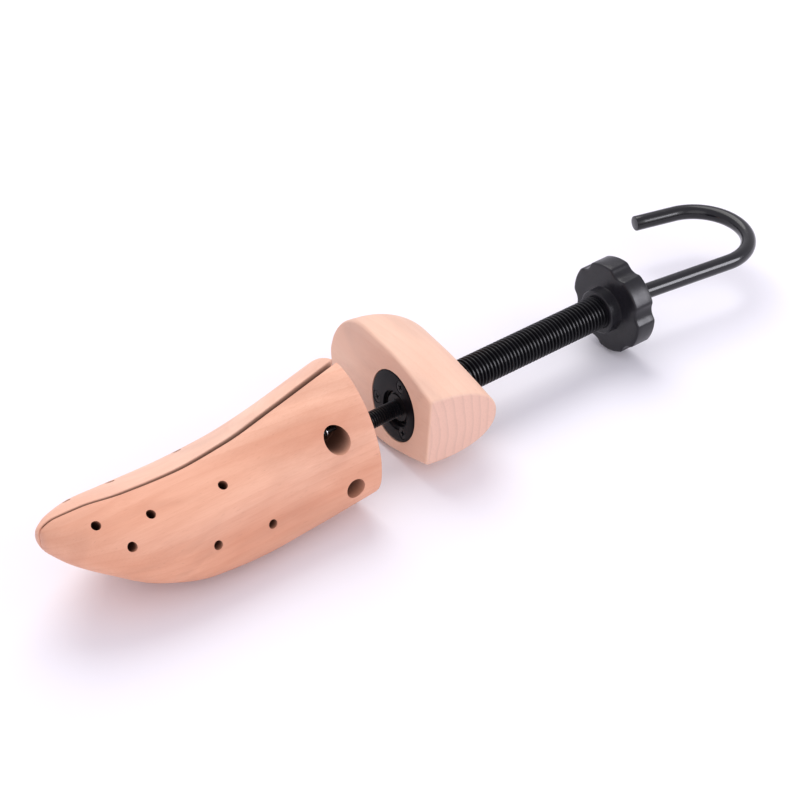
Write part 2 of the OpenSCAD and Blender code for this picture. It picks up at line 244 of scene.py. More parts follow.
def thread(name, x0, x1, pitch, root, crest, n):
    """A right-handed outer thread about X with flat crests, cut square at both ends."""
    shape = [(0.0, root), (0.14, root), (0.42, crest), (0.70, crest)]  # share of the pitch, radius
    k = len(shape)
    turns = int(math.ceil((x1 - x0) / pitch)) + 3
    verts = []
    for i in range(turns * k):
        f, r = shape[i % k]
        for j in range(n):
            a = TAU * j / n
            x = x0 - 2 * pitch + pitch * (i // k + f + j / n)
            verts.append((x, r * math.cos(a), r * math.sin(a)))
    faces = []
    for i in range(turns * k - 1):
        for j in range(n):
            a, b = i * n + j, (i + 1) * n + j
            if j < n - 1:
                c, d = b + 1, a + 1
            elif i + 1 + k < turns * k:
                c, d = (i + 1 + k) * n, (i + k) * n
            else:
                continue
            faces.append((a, b, c, d))
    me = bpy.data.meshes.new(name)
    me.from_pydata([tuple(v) for v in world(verts)], [], faces)
    bm = bmesh.new()
    bm.from_mesh(me)
    for x, sign in ((x0, -1), (x1, 1)):
        geom = bm.verts[:] + bm.edges[:] + bm.faces[:]
        bmesh.ops.bisect_plane(bm, geom=geom, plane_co=tuple(world([x, 0, 0])),
                               plane_no=(sign, 0, 0), clear_outer=True)
    loose = [v for v in bm.verts if not v.link_faces]
    bmesh.ops.delete(bm, geom=loose, context="VERTS")
    bmesh.ops.remove_doubles(bm, verts=bm.verts, dist=1e-7)
    bmesh.ops.holes_fill(bm, edges=[e for e in bm.edges if e.is_boundary], sides=0)
    bmesh.ops.recalc_face_normals(bm, faces=bm.faces)
    bm.to_mesh(me)
    bm.free()
    obj = linked(name, me)
    soften(obj, THREAD_SHARP)
    return obj


def box(name, lo, hi, to=same):
    """A cutter between two corners."""
    v = [(x, y, z) for x in (lo[0], hi[0]) for y in (lo[1], hi[1]) for z in (lo[2], hi[2])]
    f = [(0, 1, 3, 2), (4, 6, 7, 5), (0, 4, 5, 1), (2, 3, 7, 6), (0, 2, 6, 4), (1, 5, 7, 3)]
    return mesh_piece(name, to(np.array(v)), f)


def prism(name, outline, z0, z1, to=same):
    """A cutter from an outline in the XY plane, between two heights."""
    n = len(outline)
    v = [(x, y, z0) for x, y in outline] + [(x, y, z1) for x, y in outline]
    f = [tuple(range(n)), tuple(range(2 * n - 1, n - 1, -1))]
    f += [(i, (i + 1) % n, n + (i + 1) % n, n + i) for i in range(n)]
    return mesh_piece(name, to(np.array(v)), f)


def cut(obj, cutters, sharp=SHARP):
    """Takes the cutters out of the object, and away from the scene."""
    for c in cutters:
        mod = obj.modifiers.new("cut", "BOOLEAN")
        mod.operation, mod.solver, mod.object = "DIFFERENCE", "MANIFOLD", c
    deps = bpy.context.evaluated_depsgraph_get()
    done = bpy.data.meshes.new_from_object(obj.evaluated_get(deps))
    obj.modifiers.clear()
    old, obj.data = obj.data, done
    done.name = obj.name
    bpy.data.meshes.remove(old)
    for c in cutters:
        bpy.data.objects.remove(c, do_unlink=True)
    soften(obj, sharp)
    return obj


def mark_end_grain(obj, grain):
    """Stores how squarely each face cuts across the grain, for the wood's material."""
    grain = Vector(grain).normalized()
    att = obj.data.attributes.new("end_grain", "FLOAT", "FACE")
    values = [abs(p.normal.dot(grain)) for p in obj.data.polygons]
    att.data.foreach_set("value", values)


BORE_SHADE_DEPTH = 5.5  # the depth at which the painted shade on a hole's wall is full


def mark_bore_shade(obj):
    """Stores how deep each point of the last lies below its skin, from 0 at the skin to 1, for the
    painted shade in holes and in the slit.
    """
    att = obj.data.attributes.new("bore", "FLOAT", "POINT")
    n = len(obj.data.vertices)
    co = np.empty(n * 3)
    obj.data.vertices.foreach_get("co", co)
    points = (co.reshape(-1, 3) * 1000 - ORIGIN) @ FORE
    values = np.zeros(n)
    for i, (x, y, z) in enumerate(points):
        d = (x + TOE) / (1 + LEAN * z / FORE_LEN)
        if not 2 < d < FORE_LEN - 1.5:  # the tip and the rear face stay plain
            continue
        w, top, mid, low, upper, lower = fore_row(d)
        h, power = (top - mid, upper) if z > mid else (mid - low, lower)
        reach = ((abs(y) / w) ** power + (abs(z - mid) / h) ** power) ** (1 / power)
        values[i] = min(max((1 - reach) * min(w, h * 1.2) / BORE_SHADE_DEPTH, 0), 1)
    att.data.foreach_set("value", values)


def finish_piece(obj, body, material, slot, *replaced):
    """Gives a piece its material, its body and the nodes it replaces. slot is not used."""
    obj.data.materials.clear()
    obj.data.materials.append(material)
    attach(obj, body)
    if replaced:
        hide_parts(*replaced)
    return obj


# ---------------------------------------------------------------- materials

class Nodes:
    """Short calls for building one material's node tree."""

    def __init__(self, name):
        self.mat = bpy.data.materials.new(name)
        self.mat.use_nodes = True
        self.tree = self.mat.node_tree
        self.shader = self.tree.nodes["Principled BSDF"]

    def add(self, kind, inputs=None, **props):
        node = self.tree.nodes.new(kind)
        for k, v in props.items():
            setattr(node, k, v)
        for k, v in (inputs or {}).items():
            if isinstance(v, bpy.types.NodeSocket):
                self.tree.links.new(v, node.inputs[k])
            else:
                node.inputs[k].default_value = v
        return node

    def math(self, op, a, b=0.0, clamp=False):
        return self.add("ShaderNodeMath", {0: a, 1: b}, operation=op, use_clamp=clamp).outputs[0]

    def noise(self, vector, scale, detail=2.0, rough=0.5, distortion=0.0):
        inputs = {"Vector": vector, "Scale": scale, "Detail": detail, "Roughness": rough,
                  "Distortion": distortion}
        return self.add("ShaderNodeTexNoise", inputs).outputs["Fac"]

    def coords(self):
        return self.add("ShaderNodeTexCoord").outputs["Object"]

    def attribute(self, name):
        return self.add("ShaderNodeAttribute", attribute_name=name).outputs["Fac"]

    def above(self, value, start, gain):
        """How far a value lies above a start, times a gain, kept from 0 to 1."""
        return self.math("MULTIPLY", self.math("SUBTRACT", value, start), gain, True)

    def spread(self, value, low, high):
        """A value from 0 to 1 spread over a range."""
        return self.math("ADD", self.math("MULTIPLY", value, high - low), low)

    def stretch(self, vector, scale):
        return self.add("ShaderNodeMapping", {"Vector": vector, "Scale": scale}).outputs[0]

    def ramp(self, fac, stops):
        node = self.add("ShaderNodeValToRGB", {"Fac": fac})
        ramp = node.color_ramp
        while len(ramp.elements) < len(stops):
            ramp.elements.new(0.5)
        for e, (at, colour) in zip(ramp.elements, stops):
            e.position = at
            e.color = (*colour, 1)
        return node.outputs[0]

    def mix(self, fac, a, b, blend="MIX"):
        node = self.add("ShaderNodeMix", data_type="RGBA", blend_type=blend)
        for key, v in ((0, fac), (6, a), (7, b)):
            if isinstance(v, bpy.types.NodeSocket):
                self.tree.links.new(v, node.inputs[key])
            else:
                node.inputs[key].default_value = v if key == 0 else (*v, 1)
        return node.outputs[2]

    def bump(self, height, depth_mm, strength):
        inputs = {"Height": height, "Distance": depth_mm / 1000, "Strength": strength}
        return self.add("ShaderNodeBump", inputs).outputs[0]

    def link(self, key, value):
        if isinstance(value, bpy.types.NodeSocket):
            self.tree.links.new(value, self.shader.inputs[key])
        else:
            self.shader.inputs[key].default_value = value


def tint(colour, *factors):
    """A colour with its channels multiplied, by one factor or by one each."""
    return tuple(c * k for c, k in zip(colour, factors if len(factors) == 3 else factors * 3))


# Painted shade on the deep walls of holes and of the slit
BORE_SHADE_COLOUR = (0.06, 0.02, 0.010)


def wood(name, grain, pith, light, dark, end_colour, ring_mm):
    """Sanded beech. grain turns the row's frame so that X runs along the grain; pith is the
    shift that puts the tree's centre on that X axis."""
    n = Nodes(name)
    mapping = {"Vector": n.coords(), "Location": pith, "Rotation": grain}
    turned = n.add("ShaderNodeMapping", mapping).outputs[0]

    def grained(along_grain, across, detail, *more, third=None):
        """Noise drawn out along the grain."""
        scale = (along_grain, across, third or across)
        return n.noise(n.stretch(turned, scale), 1.0, detail, *more)

    # Year rings: wavy cylinders about the pith, each darkening towards its late wood
    parts = n.add("ShaderNodeSeparateXYZ", {0: turned})
    squares = [n.math("POWER", parts.outputs[k], 2.0) for k in (1, 2)]
    radius = n.math("SQRT", n.math("ADD", *squares))
    wavy = n.math("ADD", radius, n.math("MULTIPLY", grained(5, 22, 2.0), 0.012))
    phase = n.math("FRACT", n.math("MULTIPLY", wavy, 1000 / ring_mm))
    late = n.ramp(phase, [(0.0, (0, 0, 0)), (0.62, (0.25, 0.25, 0.25)), (0.93, (1, 1, 1)),
                          (1.0, (0, 0, 0))])

    # The long faces: broad patches and zones, then rings, fibres and flecks
    patches = grained(9, 34, 3.0, 0.55, 0.4)
    zones = grained(11, 26, 3.0, 0.5, 1.2)
    fibres = grained(70, 2600, 3.0, 0.6)
    flecks = grained(300, 2400, 1.0, 0.4, third=1400)
    warm = tint(dark, 0.86, 0.74, 0.66)
    cream = n.ramp(patches, [(0.30, dark), (0.70, light)])
    base = n.mix(n.above(zones, 0.47, 2.6), cream, tint(dark, 0.78, 0.84, 0.90))
    ring_strength = n.math("MULTIPLY", grained(6, 60, 1.0), 0.26)
    ringed = n.mix(n.math("MULTIPLY", late, ring_strength), base, warm)
    fibred = n.mix(n.above(fibres, 0.42, 0.55), ringed, warm)
    fleck_amount = n.math("MULTIPLY", n.above(flecks, 0.66, 3.2), 0.45)
    flecked = n.mix(fleck_amount, fibred, tint(dark, 0.62))

    # The faces across the grain: rings and pores
    pores = grained(900, 1900, 2.0, 0.6)
    end_rings = n.mix(n.math("MULTIPLY", late, 0.5), end_colour, tint(end_colour, 0.78))
    end_pored = n.mix(n.above(pores, 0.5, 1.6), end_rings, tint(end_colour, 0.66))
    end_amount = n.math("POWER", n.attribute("end_grain"), 6.0, True)
    skin = n.mix(n.math("MULTIPLY", end_amount, 0.85), flecked, end_pored)

    # The walls of holes and of the slit get painted shade, darker the deeper they lie
    lit = n.math("POWER", n.math("SUBTRACT", 1.0, n.attribute("bore"), True), 3.4)
    shade = n.math("MULTIPLY", n.math("SUBTRACT", 1.0, lit, True), 0.97)
    n.link("Base Color", n.mix(shade, skin, BORE_SHADE_COLOUR))
    n.link("Roughness", n.math("ADD", n.math("MULTIPLY", fibres, 0.22), 0.46))
    n.link("Specular IOR Level", 0.35)
    height = n.math("ADD", n.math("MULTIPLY", fibres, 0.6), n.math("MULTIPLY", late, 0.25))
    n.link("Normal", n.bump(height, 0.06, 0.6))
    return n.mat


def plastic(name, low, high, rough, grain_scale, bump_mm, shine, ior=1.5):
    """A black satin surface, mottled between two colours, with a fine grain."""
    n = Nodes(name)
    obj = n.coords()
    n.link("Base Color", n.ramp(n.noise(obj, 90, 3.0, 0.6), [(0.3, low), (0.7, high)]))
    n.link("Roughness", n.spread(n.noise(obj, 260, 3.0, 0.6), *rough))
    n.link("Specular IOR Level", shine)
    n.link("IOR", ior)
    n.link("Normal", n.bump(n.noise(obj, grain_scale, 2.0, 0.6), bump_mm, 0.5))
    return n.mat


def paint(name):
    """Gloss black enamel on steel, with a little orange peel and dust."""
    n = Nodes(name)
    obj = n.coords()
    stops = [(0.3, (0.003, 0.003, 0.004)), (0.75, (0.008, 0.008, 0.011))]
    n.link("Base Color", n.ramp(n.noise(obj, 60, 3.0, 0.6), stops))
    n.link("Roughness", n.spread(n.noise(obj, 320, 3.0, 0.65), 0.16, 0.30))
    n.link("Specular IOR Level", 0.30)
    n.link("Coat Weight", 0.30)
    n.link("Coat Roughness", 0.07)
    n.link("Normal", n.bump(n.noise(obj, 420, 2.0), 0.02, 0.5))
    return n.mat


def steel(name, low, high, rough):
    """Bare or plated steel with fine scratches."""
    n = Nodes(name)
    obj = n.coords()
    scratch = n.noise(n.stretch(obj, (300, 3000, 3000)), 1.0, 2.0, 0.6)
    n.link("Base Color", n.ramp(n.noise(obj, 140, 3.0, 0.6), [(0.3, low), (0.7, high)]))
    n.link("Metallic", 1.0)
    n.link("Roughness", n.spread(scratch, rough, rough + 0.2))
    n.link("Normal", n.bump(scratch, 0.01, 0.4))
    return n.mat


def floor_material():
    n = Nodes("studio_floor")
    stops = [(0.3, (0.895, 0.885, 0.935)), (0.7, (0.91, 0.90, 0.945))]
    n.link("Base Color", n.ramp(n.noise(n.coords(), 3.0, 2.0), stops))
    n.link("Roughness", 0.9)
    n.link("Specular IOR Level", 0.1)
    return n.mat


# Painted light and shade: both halves are one beech, the far half's copy lighter for the light on its
# top and the near half's copy darker for the shade on its flank
FAR_WOOD_LIT = wood("beech_far_lit", grain=(0, 0, 0), pith=(0.05, 0.030, 0.075),
                light=(0.93, 0.62, 0.47), dark=(0.82, 0.46, 0.325),
                end_colour=(0.72, 0.40, 0.29), ring_mm=3.0)
NEAR_WOOD_SHADED = wood("beech_last", grain=(0, 0, 0), pith=(0.02, 0.045, 0.060),
                 light=(0.92, 0.53, 0.37), dark=(0.67, 0.295, 0.18),
                 end_colour=(0.70, 0.36, 0.25), ring_mm=3.4)
HEEL_WOOD = wood("beech_heel", grain=(0, 0, QUARTER), pith=(0.03, 0.095, -0.024),
                 light=(0.92, 0.635, 0.485), dark=(0.83, 0.52, 0.385),
                 end_colour=(0.80, 0.50, 0.40), ring_mm=4.2)
BLACK_PLASTIC = plastic("black_plastic_satin", (0.006, 0.006, 0.008), (0.013, 0.012, 0.016),
                        rough=(0.22, 0.42), grain_scale=1500, bump_mm=0.06, shine=0.34)
FLANGE_PLASTIC = plastic("black_plastic_flange", (0.004, 0.0035, 0.005), (0.009, 0.008, 0.010),
                         rough=(0.22, 0.40), grain_scale=1200, bump_mm=0.02, shine=0.30, ior=1.22)
THREAD_PLASTIC = plastic("black_plastic_thread", (0.003, 0.003, 0.004), (0.007, 0.007, 0.009),
                         rough=(0.24, 0.38), grain_scale=900, bump_mm=0.01, shine=0.22)
BLACK_OXIDE = plastic("black_oxide_steel", (0.005, 0.0045, 0.005), (0.012, 0.011, 0.012),
                      rough=(0.25, 0.42), grain_scale=700, bump_mm=0.02, shine=0.35, ior=1.28)
BLACK_PAINT = paint("black_enamel")
ZINC = steel("zinc_steel", (0.52, 0.53, 0.55), (0.68, 0.69, 0.70), 0.22)
SPRING_STEEL = steel("spring_steel", (0.42, 0.42, 0.43), (0.58, 0.58, 0.59), 0.12)
DARK_STEEL = steel("pin_steel", (0.035, 0.033, 0.032), (0.07, 0.068, 0.066), 0.3)


# ---------------------------------------------------------------- forepart

TOE = 180  # the toe's tip lies this far before the heel block's front face
FORE_LEN = 148.5
LEAN = math.tan(math.radians(2.8))  # how the rear face leans back with height
# Distance from the toe's tip, half width, ridge, widest height, sole, and the powers of the
# upper and the lower curve
FORE_ROWS = np.array([
    [0, 2.6, 20.5, 18, 15.5, 2, 2.2],
    [3, 7.4, 24, 15.5, 10, 1.9, 2.4],
    [8, 12.2, 25.2, 12.8, 5, 1.9, 2.6],
    [20, 20.5, 24.9, 7.8, -3, 1.9, 2.9],
    [40, 28, 22.2, 0.8, -14.5, 1.9, 3.3],
    [65, 31, 21, -3.8, -21.8, 1.9, 3.5],
    [90, 31.3, 23.5, -5, -23.4, 1.8, 3.5],
    [115, 31, 29.6, -3.2, -22.4, 1.7, 3.5],
    [148.5, 32, 38.5, 1, -20, 1.7, 3.2],
])
SLIT = (0.5, 1.5)  # half the slit's width at the toe and at the rear face


def smooth_curve(k, v, x):
    """The same smooth curve through the values v at the places k that the CAD uses."""
    i = min(max(int(np.searchsorted(k, x, side="right")) - 1, 0), len(k) - 2)

    def rise(i):
        return (v[i + 1] - v[i]) / (k[i + 1] - k[i])

    def slope(i):
        if i == 0:
            return rise(0)
        if i == len(k) - 1:
            return rise(i - 1)
        a, b = rise(i - 1), rise(i)
        return 0 if a * b <= 0 else 2 * a * b / (a + b)

    h = k[i + 1] - k[i]
    t = (x - k[i]) / h
    return (v[i] * (1 + 2 * t) * (1 - t) ** 2 + v[i + 1] * t * t * (3 - 2 * t)
            + h * t * (1 - t) * (slope(i) * (1 - t) - slope(i + 1) * t))


FORE_KEYS = np.sqrt(FORE_ROWS[:, 0])


def fore_row(d):
    """Half width, ridge, widest height, sole and the two powers at a distance from the tip."""
    at = math.sqrt(max(d, 0))
    return [smooth_curve(FORE_KEYS, FORE_ROWS[:, c], at) for c in range(1, 7)]


def slit_at(x):
    return SLIT[0] + (SLIT[1] - SLIT[0]) * (x + TOE) / FORE_LEN


UPPER, LOWER, ARC, FLAT = 34, 30, 5, 6  # points on each part of a section
REAR_EDGE = 0.9  # the radius of the rear face's edge
SLIT_EDGE = 0.55  # the radius where the slit's wall meets the skin, less at the thin toe


def fore_ring(d, inset=0.0, shrink=None):
    """One closed section of the far half: the outer curve from ridge to sole, a small radius,
    the slit's wall and another radius."""
    w, top, mid, low, upper, lower = fore_row(d)
    s = slit_at(d - TOE)
    r = min(SLIT_EDGE, 0.08 * w)
    a_top = math.acos(min(((s + r) / w) ** (upper / 2), 1))
    a_low = math.acos(min(((s + r) / w) ** (lower / 2), 1))
    pts = [(w * math.cos(a) ** (2 / upper), mid + (top - mid) * math.sin(a) ** (2 / upper))
           for a in np.linspace(a_top, 0, UPPER)]
    pts += [(w * math.cos(a) ** (2 / lower), mid - (mid - low) * math.sin(a) ** (2 / lower))
            for a in np.linspace(0, a_low, LOWER)[1:]]
    z_top, z_low = pts[0][1], pts[-1][1]
    arc = [QUARTER * k / ARC for k in range(ARC + 1)]
    pts += [(s + r - r * math.sin(a), z_low + r - r * math.cos(a)) for a in arc[1:]]
    pts += [(s, z) for z in np.linspace(z_low + r, z_top - r, FLAT + 2)[1:-1]]
    pts += [(s + r - r * math.cos(a), z_top - r + r * math.sin(a)) for a in arc[:-1]]
    p = np.array(pts)
    if inset:
        tangent = np.roll(p, -1, 0) - np.roll(p, 1, 0)
        tangent /= np.linalg.norm(tangent, axis=1)[:, None] + 1e-9
        p = p + inset * np.stack([tangent[:, 1], -tangent[:, 0]], 1)
    if shrink is not None:
        centre = np.array([s + (w - s) * 0.35, (top + low) / 2])
        p = centre + (p - centre) * shrink
        p[:, 0] = np.maximum(p[:, 0], s)
    x = d - TOE + LEAN * p[:, 1] * d / FORE_LEN
    return np.stack([x, p[:, 0], p[:, 1]], 1)


def fore_rings():
    """The tip, the long body with closer sections near the tip, and the rear face's edge."""
    tip = ((0.02, 0.12), (0.05, 0.45), (0.2, 0.75), (0.55, 0.93))  # distance, share of the size
    rings = [fore_ring(d, shrink=share) for d, share in tip]
    first, last, steps, edge_steps = 1.1, FORE_LEN - REAR_EDGE, 96, 4
    rings += [fore_ring(first + (last - first) * (i / steps) ** 1.35) for i in range(steps + 1)]
    for k in range(1, edge_steps + 1):
        a = QUARTER * k / edge_steps
        rings.append(fore_ring(last + REAR_EDGE * math.sin(a), REAR_EDGE * (1 - math.cos(a))))
    return rings


# Distance from the toe's tip and degrees above level, looking out from the last's middle
PLUG_HOLES = [(20.1, 45), (43.3, 45.3), (77.6, 48.2), (29.3, 14.5), (64.2, 2.7), (91.2, 0.7)]
PLUG_R, PLUG_DEPTH = 2.1, 12
ROD_HOLE_R, PIN_HOLE_R, SPRING_HOLE_R, SPRING_THROAT_R = 6, 4.6, 5.6, 4.8
NUT_X, PIN_Z = -45.8, -5.0
NUT_BOX = ((-8.2, -5, -10.5), (8.2, 8.6, 8))  # the trunnion nut's pocket about NUT_X
SPRING_X, SPRING_Z = -48.4, 17.4
SPRING_LEDGE = 14.5
OUTSIDE = 60  # far enough out to leave the wood
CONE_BACK, CONE_R, PLATE_GAP, PLATE_T = -62, 9, 0.5, 2
PLATE_A = math.atan(0.3)
PLATE_RUN = (-29.2, 4.2)  # the plate's seat along its slope, from the cone's back
CAVITY = (-98, -57.5, 10.2)  # the cone's cavity: both ends and half its height
HINGE_X, HINGE_Z, HINGE_H = -172, 15, 9
BARREL_R, LEAF_LEN = 2.7, 16.5  # the seats of the hinge's barrel and of its leaf


def plug_cutter(d, degrees):
    """A blind hole square to the rod. The material paints shade into it, darker with depth, ring by
    ring.
    """
    w, top, mid, _, power, _ = fore_row(d)
    h = top - mid - 2
    c, s = math.cos(math.radians(degrees)), math.sin(math.radians(degrees))
    surface = 1 / ((c / w) ** power + (s / h) ** power) ** (1 / power)
    bottom = surface - PLUG_DEPTH
    profile = [(bottom, 0.05), (bottom + 0.02, 0.3), (bottom + 1.2, PLUG_R)]
    profile += [(surface - back, PLUG_R) for back in (7, 4.5, 2.5, -30)]
    return lathe("cutter", profile, 32, then(along((0, c, s), (d - TOE, 0, mid + 2)), fore))


def cross_cutter(x, z, y0, y1, r):
    return lathe("cutter", [(y0, r), (y1, r)], 56, then(along((0, 1, 0), (x, 0, z)), fore))


def screw_cutter(direction, at, profile):
    return lathe("cutter", profile, 24, then(along(direction, at), fore))


def fore_cutters():
    sin_a, cos_a = math.sin(PLATE_A), math.cos(PLATE_A)
    ends = [(CONE_BACK + x * cos_a - PLATE_T * sin_a,
             CONE_R + PLATE_GAP + x * sin_a + PLATE_T * cos_a) for x in PLATE_RUN]
    front, back, half_h = CAVITY
    outline = [(front, -1), (front, ends[0][1]), ends[0], ends[1], (back, ends[1][1]), (back, -1)]
    lo, hi = (np.array(corner) + (NUT_X, 0, 0) for corner in NUT_BOX)
    hinge_lo, hinge_hi = HINGE_Z - HINGE_H / 2, HINGE_Z + HINGE_H / 2
    cutters = [
        lathe("cutter", [(-60, ROD_HOLE_R), (5, ROD_HOLE_R)], 48, fore),
        box("cutter", lo, hi, fore),
        cross_cutter(NUT_X, PIN_Z, -2, OUTSIDE, PIN_HOLE_R),
        cross_cutter(SPRING_X, SPRING_Z, -2, SPRING_LEDGE + 0.1, SPRING_THROAT_R),
        cross_cutter(SPRING_X, SPRING_Z, SPRING_LEDGE, OUTSIDE, SPRING_HOLE_R),
        prism("cutter", outline, -half_h, half_h, fore),
        lathe("cutter", [(hinge_lo - 0.3, BARREL_R), (hinge_hi + 0.3, BARREL_R)], 32,
              then(along((0, 0, 1), (HINGE_X, 0, 0)), fore)),
        box("cutter", (HINGE_X, -1, hinge_lo),
            (HINGE_X + LEAF_LEN, slit_at(HINGE_X) + 1, hinge_hi), fore),
    ]
    for x in (-21, -3):
        at = (CONE_BACK + x * cos_a, CONE_R + PLATE_GAP + x * sin_a, 0)
        cutters.append(screw_cutter((-sin_a, cos_a, 0), at, [(0, 2.8), (1.3, 1.5), (13, 1.5)]))
    for x in (6.5, 11.5):
        at = (HINGE_X + x, slit_at(HINGE_X), HINGE_Z)
        cutters.append(screw_cutter((0, 1, 0), at, [(0, 2), (0.9, 1.1), (7, 1.1)]))
    return cutters + [plug_cutter(d, degrees) for d, degrees in PLUG_HOLES]


def mirrored(obj, name):
    """The near side's copy of a far-side piece, mirrored in the slit's plane."""
    copy = obj.copy()
    copy.data = obj.data.copy()
    copy.name = copy.data.name = name
    bpy.context.scene.collection.objects.link(copy)
    normal = FORE @ np.array([0, 1.0, 0])
    flip = np.eye(3) - 2 * np.outer(normal, normal)
    n = len(copy.data.vertices)
    co = np.empty(n * 3)
    copy.data.vertices.foreach_get("co", co)
    axis = ORIGIN / 1000
    co = ((co.reshape(-1, 3) - axis) @ flip.T + axis).reshape(-1)
    copy.data.vertices.foreach_set("co", co)
    copy.data.flip_normals()
    soften(copy, SHARP)
    return copy


last_far = cut(loft("last_far", fore_rings(), fore), fore_cutters())
last_near = mirrored(last_far, "last_near")
for piece in (last_far, last_near):
    mark_end_grain(piece, (1, 0, 0))
    mark_bore_shade(piece)
finish_piece(last_far, "half_far", FAR_WOOD_LIT, "wood", "forepart_far")
finish_piece(last_near, "half_near", NEAR_WOOD_SHADED, "wood", "forepart_near")


# ---------------------------------------------------------------- heel block and flange

# u runs across the block, from its flat end at -HEEL_FLAT to where its round end begins
HEEL_FLAT, HEEL_ROUND, HEEL_W, HEEL_DEPTH, HEEL_RISE = 28, 25.6, 25.8, 38.2, 1.3
HEEL_ROWS = np.array([[-HEEL_FLAT, 16.6], [-14, 20.7], [-5, 22.8], [4, 24.5], [HEEL_ROUND, HEEL_W]])
HEEL_TAPER = 1.6  # how much shallower the block is at its flat end
HEEL_END_EDGE, HEEL_END_DOME = 0.34, 1.06  # the round end's last depth, and how fast it gets there
HEEL_EDGE, HEEL_CORNER, HEEL_SIDE, HEEL_BULGE = 1.1, 1.6, 4, 0.92
SCREW_RING, SCREW_PHASE = 12.9, 19.4


def heel_ring(u, w, t, inset=0.0, front=12, arc=26):
    """One D-shaped section of the block at u, of half width w and depth t, flat side in front."""
    w, lo, t = w - inset, inset, t - inset
    c = min(HEEL_CORNER, w / 3)
    corner = np.linspace(0, QUARTER, 6)
    pts = [(lo, v) for v in np.linspace(-w + c, w - c, front)]
    pts += [(lo + c - c * math.cos(a), w - c + c * math.sin(a)) for a in corner[1:]]
    side = lo + min(HEEL_SIDE, (t - lo) / 3)
    for a in np.linspace(QUARTER, -QUARTER, 2 * arc + 1):
        pts.append((side + (t - side) * max(math.cos(a), 0) ** HEEL_BULGE,
                    w * math.copysign(abs(math.sin(a)) ** HEEL_BULGE, a)))
    pts += [(lo + c - c * math.sin(a), -w + c - c * math.cos(a)) for a in corner[:-1]]
    p = np.array(pts)
    return np.stack([p[:, 0], np.full(len(p), u), p[:, 1] + HEEL_RISE], 1)


def heel_depth(u):
    return HEEL_DEPTH - HEEL_TAPER * (1 - (u + HEEL_FLAT) / (HEEL_FLAT + HEEL_ROUND))


def heel_width(u):
    return smooth_curve(HEEL_ROWS[:, 0], HEEL_ROWS[:, 1], u)


def heel_rings():
    """The flat end's eased edge, the body, and the round end."""
    edge_steps, body_steps, end_steps, end_degrees = 4, 30, 28, 88.5
    rings = []
    for k in range(edge_steps + 1):
        a = QUARTER * k / edge_steps
        u = -HEEL_FLAT + HEEL_EDGE * (1 - math.cos(a))
        rings.append(heel_ring(u, heel_width(u), heel_depth(u), HEEL_EDGE * (1 - math.sin(a))))
    for i in range(1, body_steps + 1):
        u = -HEEL_FLAT + HEEL_EDGE + (HEEL_FLAT + HEEL_ROUND - HEEL_EDGE) * i / body_steps
        rings.append(heel_ring(u, heel_width(u), heel_depth(u)))
    for i in range(1, end_steps + 1):
        a = math.radians(end_degrees * (i / end_steps) ** 0.9)
        share = HEEL_END_EDGE + (1 - HEEL_END_EDGE) * math.cos(a) ** HEEL_END_DOME
        rings.append(heel_ring(HEEL_ROUND + HEEL_W * math.sin(a), HEEL_W * math.cos(a),
                               HEEL_DEPTH * share))
    return rings


def screw_places():
    for i in range(3):
        a = math.radians(120 * i + SCREW_PHASE)
        yield -SCREW_RING * math.sin(a), SCREW_RING * math.cos(a)


FLANGE_R, FLANGE_T, BOSS_R, BOSS_END = 16.8, 2.5, 10.85, 22
HEEL_BORE_R = 11.8  # behind the boss
NUT_THREAD_R, NUT_ROOT_R, SLEEVE_PITCH = 8.1, 8.7, 2.0

heel_cutters = [
    lathe("cutter", [(-5, FLANGE_R + 0.8), (-0.05, FLANGE_R + 0.25), (0.25, FLANGE_R + 0.15),
                     (FLANGE_T, FLANGE_R + 0.15)], 96, heel),
    lathe("cutter", [(2, BOSS_R + 0.05), (BOSS_END, BOSS_R + 0.05)], 64, heel),
    lathe("cutter", [(BOSS_END - 0.1, HEEL_BORE_R), (60, HEEL_BORE_R)], 64, heel),
]
heel_wood = cut(loft("heel_wood", heel_rings(), heel), heel_cutters)
mark_end_grain(heel_wood, HEEL @ np.array([0, 1.0, 0]))
finish_piece(heel_wood, "heel", HEEL_WOOD, "wood", "heel_block")

flange = lathe("flange_moulding", [
    (0.05, 8), (0.0, 15.9), (0.12, 16.4), (0.5, FLANGE_R), (FLANGE_T, FLANGE_R),
    (FLANGE_T, BOSS_R), (21.6, BOSS_R), (BOSS_END, 10.4)], 96, heel)


def flange_bore():
    """The cutter's profile: a dished mouth, then a groove at every pitch."""
    profile = [(-3, 10.2), (0.0, 9.6), (0.7, 8.85), (2.4, 8.85), (2.6, NUT_THREAD_R)]
    for x in np.arange(3.0, BOSS_END, SLEEVE_PITCH):
        profile += [(x, NUT_THREAD_R), (x + 0.5, NUT_ROOT_R), (x + 1.1, NUT_ROOT_R),
                    (x + 1.6, NUT_THREAD_R)]
    return profile + [(26, NUT_THREAD_R)]


SCREW_SEAT = [(-1, 3.35), (0.1, 3.0), (0.35, 2.95), (1.8, 1.5), (4, 1.5)]
flange_cutters = [lathe("cutter", flange_bore(), 72)]
flange_cutters += [lathe("cutter", SCREW_SEAT, 32, heel, y=y, z=z) for y, z in screw_places()]
cut(flange, flange_cutters, 34)
finish_piece(flange, "heel", FLANGE_PLASTIC, "black_plastic", "flange_nut")


